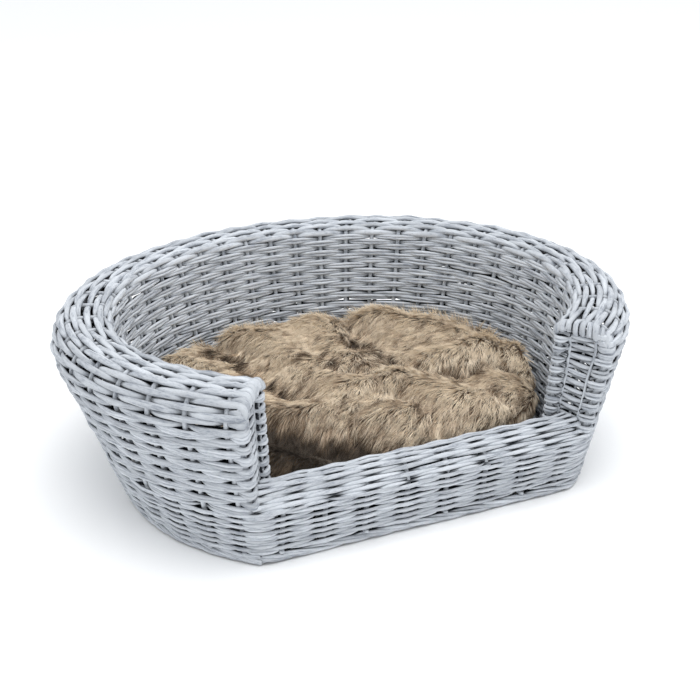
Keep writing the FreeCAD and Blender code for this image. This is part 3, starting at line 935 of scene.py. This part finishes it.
# Lines the cover is creased along, (x, y) in mm, with how high each stands or sinks and
# how far it spreads.
FOLDS = (
    (4.0, 20.0, ((-165, 92), (-138, 50), (-114, -4), (-92, -67), (-50, -105), (8, -140),
                 (98, -160))),
    (-15.0, 15.0, ((-92, 118), (-80, 34), (-62, -40), (-46, -66))),
    (7.0, 17.0, ((-60, -74), (-24, -62), (30, -58), (58, -78), (74, -124))),
    (-14.0, 15.0, ((58, 116), (55, 38), (54, -14), (76, -50), (90, -88))),
    (8.0, 15.0, ((70, -30), (111, -34), (160, -30), (192, -50))),
    (-11.0, 12.0, ((92, -66), (132, -72), (172, -92))),
    (8.0, 30.0, ((21, 101), (96, 96), (130, 74))),
    (9.0, 26.0, ((-60, 116), (-40, 60), (-52, 10))),
    (-24.0, 24.0, ((-118, -104), (-88, -136), (-44, -162))),
    (-6.0, 11.0, ((-6, 26), (10, -12), (4, -40))),
    (-7.0, 12.0, ((20, -98), (44, -128), (40, -160))),
    (24.0, 32.0, ((-200, 10), (-188, 60), (-160, 105), (-110, 140))),
    (9.0, 26.0, ((176, 60), (190, 40), (206, -20), (206, -70))),
)

# Direction the pile lies in, seen from above.
LAY = math.radians(222.0)


def line_distance(x, y, line):
    """Distance to a bent line: the least of the distances to its straight pieces."""
    best = np.full(np.shape(x), 1e9)
    for (ax, ay), (bx, by) in zip(line, line[1:]):
        ux, uy = bx - ax, by - ay
        t = np.clip(((x - ax) * ux + (y - ay) * uy) / (ux * ux + uy * uy), 0.0, 1.0)
        best = np.minimum(best, np.hypot(x - ax - t * ux, y - ay - t * uy))
    return best


def fold_height(x, y):
    """Height of the creases: for each line, rise * exp(-(distance / spread)^2)."""
    z = np.zeros(np.shape(x))
    for rise, spread, line in FOLDS:
        z += rise * np.exp(-(line_distance(x, y, line) / spread) ** 2)
    return z


def waves(x, y, size, seed, layers=5):
    """Smooth seeded field from -1 to 1: a mean of sine waves in random directions."""
    rng = np.random.default_rng(seed)
    total = np.zeros(np.shape(x))
    for _ in range(layers):
        turn, shift = rng.uniform(0, 2 * math.pi, 2)
        k = 2 * math.pi / (size * rng.uniform(0.7, 1.4))
        total += np.sin(k * (x * math.cos(turn) + y * math.sin(turn)) + shift)
    return total / layers * 1.6


def bed_radius(wall, psi, z, clear):
    """Room for the cushion at height z: the inner wall's radius and the distance to the
    sill, joined with a rounded corner by (a^-12 + b^-12)^(-1/12)."""
    fr, _, th3 = wall.section(wrapped(psi))[5:]
    r = fr + (z - wall.FOOT_Z) * -np.sin(th3) / np.cos(th3) - clear
    front = (-box_mm("sill_inner_weave")[1][1] - clear) / np.maximum(0.05, -np.cos(psi))
    return (r ** -12.0 + front ** -12.0) ** (-1.0 / 12.0)


def wrapped(psi):
    """The same direction, between -pi and pi."""
    return (np.asarray(psi, float) + math.pi) % (2 * math.pi) - math.pi


def pad_surface(wall, size, inset, crown):
    """Closed pad on a grid of angle and profile: the profile goes from the middle of the
    underside round the foot, up the sides and over the top as a quarter ellipse."""
    low = box_mm("cushion_base_cover")[0][2] + inset * 0.3
    shoulder, foot, reach_in = size.shoulder - inset * 0.4, 10.0, 34.0
    rows = [(low, 170.0 * (1 - v)) for v in (0.25, 0.5, 0.75, 0.9)]
    for t in np.linspace(0, math.pi / 2, 6):
        rows.append((low + foot * (1 - math.cos(t)), foot * (1 - math.sin(t))))
    for v in (0.33, 0.66):
        rows.append((low + foot + (shoulder - low - foot) * v, 0.0))
    for t in np.linspace(0, math.pi / 2, 12):
        rows.append((shoulder + (crown - shoulder) * math.sin(t), reach_in * (1 - math.cos(t))))
    rows += [(crown, reach_in + (170.0 - reach_in) * v) for v in (0.25, 0.5, 0.75)]
    rows = np.array(rows)
    psi = np.arange(120) / 120 * 2 * math.pi
    r = bed_radius(wall, psi[None], rows[:, :1], size.clear) * (1 - (rows[:, 1:] + inset) / 170.0)
    r = np.maximum(r, 1.0)
    x, y = r * np.sin(psi), r * np.cos(psi)
    z = np.broadcast_to(rows[:, :1], r.shape).copy()
    top = np.clip((z - shoulder + 14.0) / 14.0, 0, 1)
    z = z + top * (fold_height(x, y) + 1.6 * waves(x, y, 70.0, 5))
    verts = np.concatenate([np.stack([x, y, z], -1).reshape(-1, 3),
                            [[0, 0, low], [0, 0, float(z[-1].mean())]]])
    n, m = r.shape
    grid = np.arange(n * m).reshape(n, m)
    nxt = np.roll(grid, -1, axis=1)
    quads = np.stack([grid[:-1], grid[1:], nxt[1:], nxt[:-1]], -1).reshape(-1, 4)
    under = np.stack([np.full(m, n * m), grid[0], nxt[0]], -1)
    over = np.stack([np.full(m, n * m + 1), nxt[-1], grid[-1]], -1)
    mesh = bpy.data.meshes.new("pad")
    mesh.from_pydata(verts * MM, [], quads.tolist() + under.tolist() + over.tolist())
    mesh.update()
    return mesh


def evaluated(obj):
    """A copy of the object's mesh with its modifiers applied."""
    graph = bpy.context.evaluated_depsgraph_get()
    return bpy.data.meshes.new_from_object(obj.evaluated_get(graph))


def coords(mesh):
    out = np.empty(len(mesh.vertices) * 3, np.float32)
    mesh.vertices.foreach_get("co", out)
    return out.reshape(-1, 3).astype(float)


def vertex_normals(mesh):
    out = np.empty(len(mesh.vertices) * 3, np.float32)
    mesh.vertices.foreach_get("normal", out)
    return out.reshape(-1, 3)

def filled_pad(wall, size):
    """The pad after its filling has pushed the cover out, as one closed mesh."""
    scene = bpy.context.scene
    start = bpy.data.objects.new(
        "pad_work", pad_surface(wall, size, size.inset, size.crown - 1.0))
    scene.collection.objects.link(start)
    remesh = start.modifiers.new("even", "REMESH")
    remesh.mode, remesh.voxel_size = "VOXEL", size.voxel * MM
    mesh = evaluated(start)
    bpy.data.objects.remove(start)
    work = bpy.data.objects.new("pad_cloth", mesh.copy())
    scene.collection.objects.link(work)
    cloth = work.modifiers.new("filling", "CLOTH")
    cloth.settings.use_pressure = True
    cloth.settings.uniform_pressure_force = size.pressure
    cloth.settings.effector_weights.gravity = 0.0
    cloth.point_cache.frame_start, cloth.point_cache.frame_end = 1, 20
    scene.frame_start, scene.frame_end = 1, 20
    for f in range(1, 21):
        scene.frame_set(f)
        bpy.context.view_layer.update()
    before, after = coords(mesh), coords(evaluated(work))
    move = after - before
    far = np.linalg.norm(move, axis=1, keepdims=True)
    move *= np.minimum(1.0, size.puff * MM / np.maximum(far, 1e-9))
    mesh.vertices.foreach_set("co", (before + move).astype(np.float32).ravel())
    bpy.data.objects.remove(work)
    scene.frame_set(1)
    mesh.update()
    smooth = bpy.data.objects.new("pad_smooth", mesh)
    scene.collection.objects.link(smooth)
    smooth.modifiers.new("soft", "SUBSURF").levels = 1
    finished = evaluated(smooth)
    bpy.data.objects.remove(smooth)
    return finished


def part_of(mesh, name, keep_above, height):
    """The faces of a mesh above or below a height, as a mesh of their own."""
    verts = coords(mesh)
    tri = triangles(mesh)
    mid = verts[tri][:, :, 2].mean(1)
    tri = tri[mid > height] if keep_above else tri[mid <= height]
    used, new = np.unique(tri, return_inverse=True)
    out = bpy.data.meshes.new(name)
    out.from_pydata(verts[used], [], new.reshape(-1, 3).tolist())
    out.update()
    out.shade_smooth()
    return out


def triangles(mesh):
    mesh.calc_loop_triangles()
    tri = np.empty(len(mesh.loop_triangles) * 3, np.int32)
    mesh.loop_triangles.foreach_get("vertices", tri)
    return tri.reshape(-1, 3)


def dark_plush(name, colours):
    """Backing under the pile: dark brown with short mottled tufts."""
    f = Finish(name, Specular_IOR_Level=0.1, Roughness=0.95)
    at = f.node("ShaderNodeTexCoord", 3)
    tufts = f.noise(at, 380.0, 4.0)
    soft = f.noise(at, 45.0, 2.0)
    f.feed("Base Color", f.mix(tufts * 0.7 + soft * 0.3, rgba(colours.hair_root, 0.7),
                               rgba(colours.hair_middle, 0.8)))
    f.bump(tufts, 0.7, 0.002)
    return f.material


def plain_cover(name, colours):
    """Plain woven cover: crossing threads from two sine waves."""
    f = Finish(name, Specular_IOR_Level=0.15)
    at = f.node("ShaderNodeTexCoord", 3)
    warp = f.node("ShaderNodeTexWave", 1, {"bands_direction": "X"}, Vector=at, Scale=420.0,
                  Distortion=0.6)
    weft = f.node("ShaderNodeTexWave", 1, {"bands_direction": "Y"}, Vector=at, Scale=420.0,
                  Distortion=0.6)
    thread = warp * 0.5 + weft * 0.5
    worn = f.noise(at, 25.0, 3.0)
    f.feed("Base Color", f.mix(thread * 0.6 + worn * 0.4, rgba(colours.cover, 0.7),
                               rgba(colours.cover, 1.25)))
    f.feed("Roughness", 0.8 + thread * 0.15)
    f.bump(thread, 0.4, 0.0006)
    return f.material


def loose_fibre(name, colours):
    """White fibre: soft tangled strands from stretched noise."""
    f = Finish(name, Specular_IOR_Level=0.2, Roughness=0.9)
    at = f.node("ShaderNodeTexCoord", 3)
    tangle = f.noise(at, 160.0, 6.0, 0.7)
    f.feed("Base Color", f.mix(tangle, (0.66, 0.66, 0.63, 1), (0.9, 0.9, 0.88, 1)))
    f.bump(tangle, 0.8, 0.003)
    return f.material


def long_pile(name, colours):
    """Hair coloured along its length: dark at the root, brown, then a light tip, each hair a
    little darker or lighter. The map holds the hair's shade across, its length upwards; that
    shade also carries painted shade in the creases, painted highlight on the ridges and
    painted shadow at the front-left corner."""
    f = Finish(name, Specular_IOR_Level=0.25, Roughness=0.5, Sheen_Weight=0.25,
               Sheen_Roughness=0.5, Sheen_Tint=(1.0, 0.9, 0.78, 1.0))
    uv = f.node("ShaderNodeUVMap", 0, {"uv_map": "OFBake"})
    shade = f.node("ShaderNodeSeparateXYZ", 0, None, Vector=uv)
    along = f.node("ShaderNodeSeparateXYZ", 1, None, Vector=uv)
    lower = f.mix(f.step(along, 0.02, 0.42), rgba(colours.hair_root), rgba(colours.hair_middle))
    tip = f.mix(f.step(shade, 0.2, 0.7), rgba(colours.hair_middle, 0.75), rgba(colours.hair_tip))
    body = f.mix(f.step(along + shade * 0.3, 0.25, 0.7), lower, tip)
    # The lowest shades, among them the painted shade in creases and the painted shadow at the
    # corner, go nearly to the root colour.
    dark = f.step(shade, 0.42, 0.08) * 0.92
    f.feed("Base Color", f.mix(dark, body, rgba(colours.hair_root, 0.9)))
    return f.material


class WEAVE_OT_cushion(Operator):
    """Make the filled pad: its furry cover, the plain cover under it and the filling"""

    bl_idname = "weave.cushion"
    bl_label = "Cushion"

    def execute(self, context):
        wall = new_wall()
        size = context.scene.cushion_sizes
        pad = filled_pad(wall, size)
        pad.name = "filled_pad"
        pad.use_fake_user = True
        seam = box_mm("cushion_fur_top")[0][2] / 1000.0 + 0.011
        for name, above, maker, slot, node, thick in (
                ("cushion_backing", True, dark_plush, "long_pile_fabric",
                 "cushion_fur_top", 0.0035),
                ("cushion_underside", False, plain_cover, "plain_cover",
                 "cushion_base_cover", 0.002)):
            mesh = part_of(pad, name, above, seam)
            obj = place(mesh, name, material(name + "_cloth", maker), "cushion", node, slot=slot)
            wall_mod = obj.modifiers.new("cloth", "SOLIDIFY")
            wall_mod.thickness, wall_mod.offset = thick, -1.0
        inner = pad.copy()
        inner.name = "cushion_fibre"
        verts = coords(inner) - vertex_normals(inner) * 0.0045
        inner.vertices.foreach_set("co", verts.astype(np.float32).ravel())
        inner.update()
        inner.shade_smooth()
        obj = place(inner, "cushion_fibre", material("loose_fibre", loose_fibre), "cushion",
                    "cushion_filling", slot="fibre_filling")
        return {"FINISHED"}


class WEAVE_OT_pile(Operator):
    """Lay the long hair of the cover over the cushion"""

    bl_idname = "weave.pile"
    bl_label = "Long pile"

    def execute(self, context):
        wall = new_wall()
        size = context.scene.cushion_sizes
        pad = bpy.data.meshes["filled_pad"]
        verts = coords(pad) * 1000.0
        tri = triangles(pad)
        corners = verts[tri]
        cross = np.cross(corners[:, 1] - corners[:, 0], corners[:, 2] - corners[:, 0])
        area = np.linalg.norm(cross, axis=1) / 2
        up = cross[:, 2] / np.maximum(area * 2, 1e-9)
        mid = corners.mean(1)
        seam = box_mm("cushion_fur_top")[0][2] + 13.0
        mat = material("long_pile", long_pile)
        normals = vertex_normals(pad).astype(float)
        top = (up > 0.35) & (mid[:, 2] > 50.0)
        side = (up <= 0.35) & (mid[:, 2] > seam)
        share = 1.0
        for name, mask, count, length, seed in (("top", top, size.pile_count, size.pile_length, 3),
                                                ("side", side, size.side_count, 15.0, 4)):
            rng = np.random.default_rng(seed)
            count = int(count * share)
            pick = rng.choice(len(tri), count, p=np.where(mask, area, 0) / area[mask].sum())
            a, b = rng.uniform(0, 1, (2, count))
            flip = a + b > 1
            a, b = np.where(flip, 1 - a, a), np.where(flip, 1 - b, b)
            w = np.stack([1 - a - b, a, b], -1)[:, :, None]
            root = (corners[pick] * w).sum(1)
            normal = unit((normals[tri[pick]] * w).sum(1))
            hairs = comb(wall, size, rng, root, normal, length, name == "side", share)
            limit = 11800  # hairs in one piece
            for k in range(0, count, limit):
                part = [v[k:k + limit] for v in hairs]
                obj = hair_piece("pile_%s_%d" % (name, k // limit + 1), part, mat)
        return {"FINISHED"}


def comb(wall, size, rng, root, normal, length, hanging, share):
    """Lines of hairs, 4 points each. A hair leaves the cloth at a steep angle that falls to
    nothing at its tip and leans the way the pile lies; hairs of one lock, taken from a
    jittered grid of cells, draw together towards their tips."""
    n = len(root)
    x, y = root[:, 0], root[:, 1]
    cell = 5.0
    around = np.arctan2(x, y) * 190.0
    cx, cy = (around, root[:, 2]) if hanging else (
        (x * math.cos(LAY) + y * math.sin(LAY)) * 0.45, y * math.cos(LAY) - x * math.sin(LAY))
    warp = 3.0 * waves(cx, cy, 18.0, 21), 3.0 * waves(cx, cy, 18.0, 22)
    ix, iy = np.floor((cx + warp[0]) / cell), np.floor((cy + warp[1]) / cell)
    hashed = np.abs(np.sin(ix * 12.9898 + iy * 78.233) * 43758.5453) % 1.0
    hashed2 = np.abs(np.sin(ix * 39.346 + iy * 11.135) * 24634.6345) % 1.0
    key = (ix * 4096 + iy).astype(int)
    _, lock = np.unique(key, return_inverse=True)
    number = np.bincount(lock)
    centre = np.stack([np.bincount(lock, root[:, k]) / number for k in range(3)], -1)[lock]
    if hanging:
        lean = np.stack([np.full(n, -0.45), np.full(n, -0.2), np.full(n, -1.0)], -1)
    else:
        turn = LAY + 0.35 * waves(x, y, 130.0, 31) + 0.26 * (hashed - 0.5) \
            + rng.normal(0, 0.08, n)
        h = 2.0
        slope_x = (fold_height(x + h, y) - fold_height(x - h, y)) / (2 * h)
        slope_y = (fold_height(x, y + h) - fold_height(x, y - h)) / (2 * h)
        lean = np.stack([np.cos(turn) - 0.35 * slope_x, np.sin(turn) - 0.35 * slope_y,
                         np.zeros(n)], -1)
    lean = unit(lean - normal * (lean * normal).sum(1, keepdims=True))
    long = length * (0.88 + 0.24 * hashed2) * rng.uniform(0.82, 1.1, n)
    if hanging:
        start_angle = np.radians(18.0) * rng.uniform(0.6, 1.2, n)
    else:
        start_angle = np.radians(28.0) * (0.75 + 0.5 * hashed) * rng.uniform(0.85, 1.15, n)
    pts = [root - normal * 0.5]
    steps = 3
    side = np.cross(normal, lean)
    curl = rng.normal(0, 0.10, n) + 0.28 * (hashed2 - 0.5)
    for k in range(steps):
        f = (k + 0.5) / steps
        ang = start_angle * (1 - f) ** 1.3
        way = lean * np.cos(ang)[:, None] + normal * np.sin(ang)[:, None] \
            + side * (curl * f * 2)[:, None]
        pts.append(pts[-1] + unit(way) * (long / steps)[:, None])
    line = np.stack(pts, 1)
    pull = np.array([0.0, 0.1, 0.25, 0.4])[None, :, None]
    line = line - (root - centre)[:, None] * pull
    psi = np.arctan2(line[..., 0], line[..., 1])
    z = np.clip(line[..., 2], 14.0, 130.0)
    room = bed_radius(wall, psi, z, 1.6)
    far = np.hypot(line[..., 0], line[..., 1])
    line[..., :2] *= np.minimum(1.0, room / far)[..., None]
    # Shade of each hair: random tone from the mottle, the lock and the hair itself; painted shade
    # darkens hairs in the creases and a painted highlight lightens them on the ridges. Near the
    # front-left corner hairs are darkened, partly darker fur and partly the painted shadow of the
    # left arm.
    sunk = -fold_height(x, y) if not hanging else np.zeros(n)
    corner = np.exp(-(line_distance(x, y, ((-118, -104), (-88, -140), (-46, -165))) / 38.0) ** 2)
    u = (x * math.cos(LAY) + y * math.sin(LAY)) * 0.22
    v = y * math.cos(LAY) - x * math.sin(LAY)
    mottle = waves(u, v, 13.0, 41)
    shade = 0.6 + 0.27 * mottle + 0.25 * (hashed - 0.5) + rng.normal(0, 0.11, n) \
        - 0.032 * np.maximum(sunk, 0) + 0.02 * np.maximum(-sunk, 0)
    # Front-left corner: painted shadow of the left arm over darker fur.
    shade = np.clip(shade, 0.1, 1.0) * (1 - 0.95 * corner)
    thick = (0.335 if share == 1.0 else 0.6) * rng.uniform(0.8, 1.2, n)
    return line, thick, np.clip(shade, 0.02, 0.98)


def hair_piece(name, hairs, mat):
    """Mesh of three-sided tapering hairs: ring point = line + radius * (cos a * across +
    sin a * up), radius shrinking along the hair to a point."""
    line, thick, shade = hairs
    n = len(line)
    along = unit(np.gradient(line, axis=1))
    ref = np.where(np.abs(along[..., 2:]) > 0.9, [[[1.0, 0.0, 0.0]]], [[[0.0, 0.0, 1.0]]])
    across = unit(np.cross(along, ref))
    up = np.cross(across, along)
    a = np.arange(3) / 3 * 2 * math.pi
    radius = thick[:, None] * np.array([1.0, 0.85, 0.55])
    ring = (np.cos(a)[:, None] * across[:, :3, None] + np.sin(a)[:, None] * up[:, :3, None])
    body = line[:, :3, None] + ring * radius[..., None, None]
    verts = np.concatenate([body.reshape(n, 9, 3), line[:, 3:4]], 1).reshape(-1, 3)
    quad = []
    for k in range(2):
        for j in range(3):
            m = (j + 1) % 3
            quad.append((3 * k + j, 3 * k + m, 3 * k + 3 + m, 3 * k + 3 + j))
    tri = [(6, 7, 9), (7, 8, 9), (8, 6, 9), (0, 2, 1)]
    base = np.arange(n)[:, None, None] * 10
    quads = (base + np.array(quad)).reshape(-1, 4)
    tris = (base + np.array(tri)).reshape(-1, 3)
    mesh = bpy.data.meshes.new(name)
    mesh.vertices.add(len(verts))
    mesh.vertices.foreach_set("co", (verts * MM).astype(np.float32).ravel())
    corner = np.concatenate([quads.ravel(), tris.ravel()])
    mesh.loops.add(len(corner))
    mesh.loops.foreach_set("vertex_index", corner)
    mesh.polygons.add(len(quads) + len(tris))
    mesh.polygons.foreach_set("loop_start", np.concatenate(
        [np.arange(len(quads)) * 4, len(quads) * 4 + np.arange(len(tris)) * 3]))
    mesh.update(calc_edges=True)
    length_at = np.array([0, 0, 0, 0.33, 0.33, 0.33, 0.67, 0.67, 0.67, 1.0])
    uv = np.stack([shade[corner // 10], length_at[corner % 10]], -1)
    layer = mesh.uv_layers.new(name="OFBake")
    layer.data.foreach_set("uv", (0.01 + 0.98 * uv).astype(np.float32).ravel())
    mesh.shade_smooth()
    return place(mesh, name, mat, "cushion", slot="long_pile_fabric")


class WEAVE_OT_stage(Operator):
    """Set up the floor, the lights and the camera"""

    bl_idname = "weave.stage"
    bl_label = "Stage, light and camera"

    def execute(self, context):
        scene = context.scene
        mesh = bpy.data.meshes.new("floor")
        half = 40.0
        corners = [(-half, -half, 0), (half, -half, 0), (half, half, 0), (-half, half, 0)]
        mesh.from_pydata(corners, [], [(0, 1, 2, 3)])
        floor = bpy.data.objects.new("floor", mesh)
        scene.collection.objects.link(floor)
        f = Finish("floor_paint", Roughness=0.9, Specular_IOR_Level=0.1)
        f.shader.inputs["Base Color"].default_value = (0.985, 0.985, 0.985, 1)
        mesh.materials.append(f.material)

        world = bpy.data.worlds.new("studio")
        scene.world = world
        world.use_nodes = True
        back = world.node_tree.nodes["Background"]
        back.inputs["Color"].default_value = (0.96, 0.98, 1.0, 1)
        back.inputs["Strength"].default_value = 1.0

        lights = (("key", (0.2, -2.6, 2.0), 1.9, 68.0), ("fill", (-2.2, -1.4, 1.2), 2.0, 5.0),
                  ("top", (0.2, -0.6, 2.5), 2.4, 36.0))
        for name, place_at, size, power in lights:
            data = bpy.data.lights.new(name, "AREA")
            data.shape, data.size, data.energy = "DISK", size, power
            lamp = bpy.data.objects.new(name, data)
            lamp.location = place_at
            aim = np.array([0.0, 0.0, 0.08]) - np.array(place_at)
            lamp.rotation_euler = (math.atan2(math.hypot(aim[0], aim[1]), -aim[2]), 0.0,
                                   math.atan2(aim[0], -aim[1]))
            scene.collection.objects.link(lamp)

        data = bpy.data.cameras.new("camera")
        data.lens, data.sensor_width = 64.97, 36.0
        data.shift_x, data.shift_y = -0.0055, 0.0103
        cam = bpy.data.objects.new("camera", data)
        az, el = math.radians(-24.43), math.radians(23.48)
        back_way = np.array([math.sin(az) * math.cos(el), -math.cos(az) * math.cos(el),
                             math.sin(el)])
        cam.location = np.array([0.0266, 0.0, 0.0833]) + 1.30 * back_way
        cam.rotation_euler = (math.pi / 2 - el, math.radians(0.47), az)
        scene.collection.objects.link(cam)
        scene.camera = cam
        scene.view_settings.view_transform = "Standard"
        return {"FINISHED"}


class WEAVE_PT_basket(Panel):
    """Buttons for each piece of the basket"""

    bl_idname = "WEAVE_PT_basket"
    bl_label = "Wicker pet basket"
    bl_space_type = "VIEW_3D"
    bl_region_type = "UI"
    bl_category = "Basket"

    def draw(self, context):
        for cls in OPERATORS:
            self.layout.operator(cls.bl_idname)


OPERATORS = (WEAVE_OT_horseshoe, WEAVE_OT_arm_ends, WEAVE_OT_sill, WEAVE_OT_foot,
             WEAVE_OT_frame_rods, WEAVE_OT_cushion, WEAVE_OT_pile, WEAVE_OT_stage)
CLASSES = (WillowSizes, CushionSizes, BasketColours) + OPERATORS + (WEAVE_PT_basket,)


def register():
    for cls in CLASSES:
        bpy.utils.register_class(cls)
    bpy.types.Scene.basket_sizes = PointerProperty(type=WillowSizes)
    bpy.types.Scene.cushion_sizes = PointerProperty(type=CushionSizes)
    bpy.types.Scene.basket_colours = PointerProperty(type=BasketColours)


def unregister():
    del bpy.types.Scene.basket_sizes
    del bpy.types.Scene.cushion_sizes
    del bpy.types.Scene.basket_colours
    for cls in reversed(CLASSES):
        bpy.utils.unregister_class(cls)


def main():
    register()
    for cls in OPERATORS:
        group, name = cls.bl_idname.split(".")
        getattr(getattr(bpy.ops, group), name)()


if __name__ == "__main__":
    main()
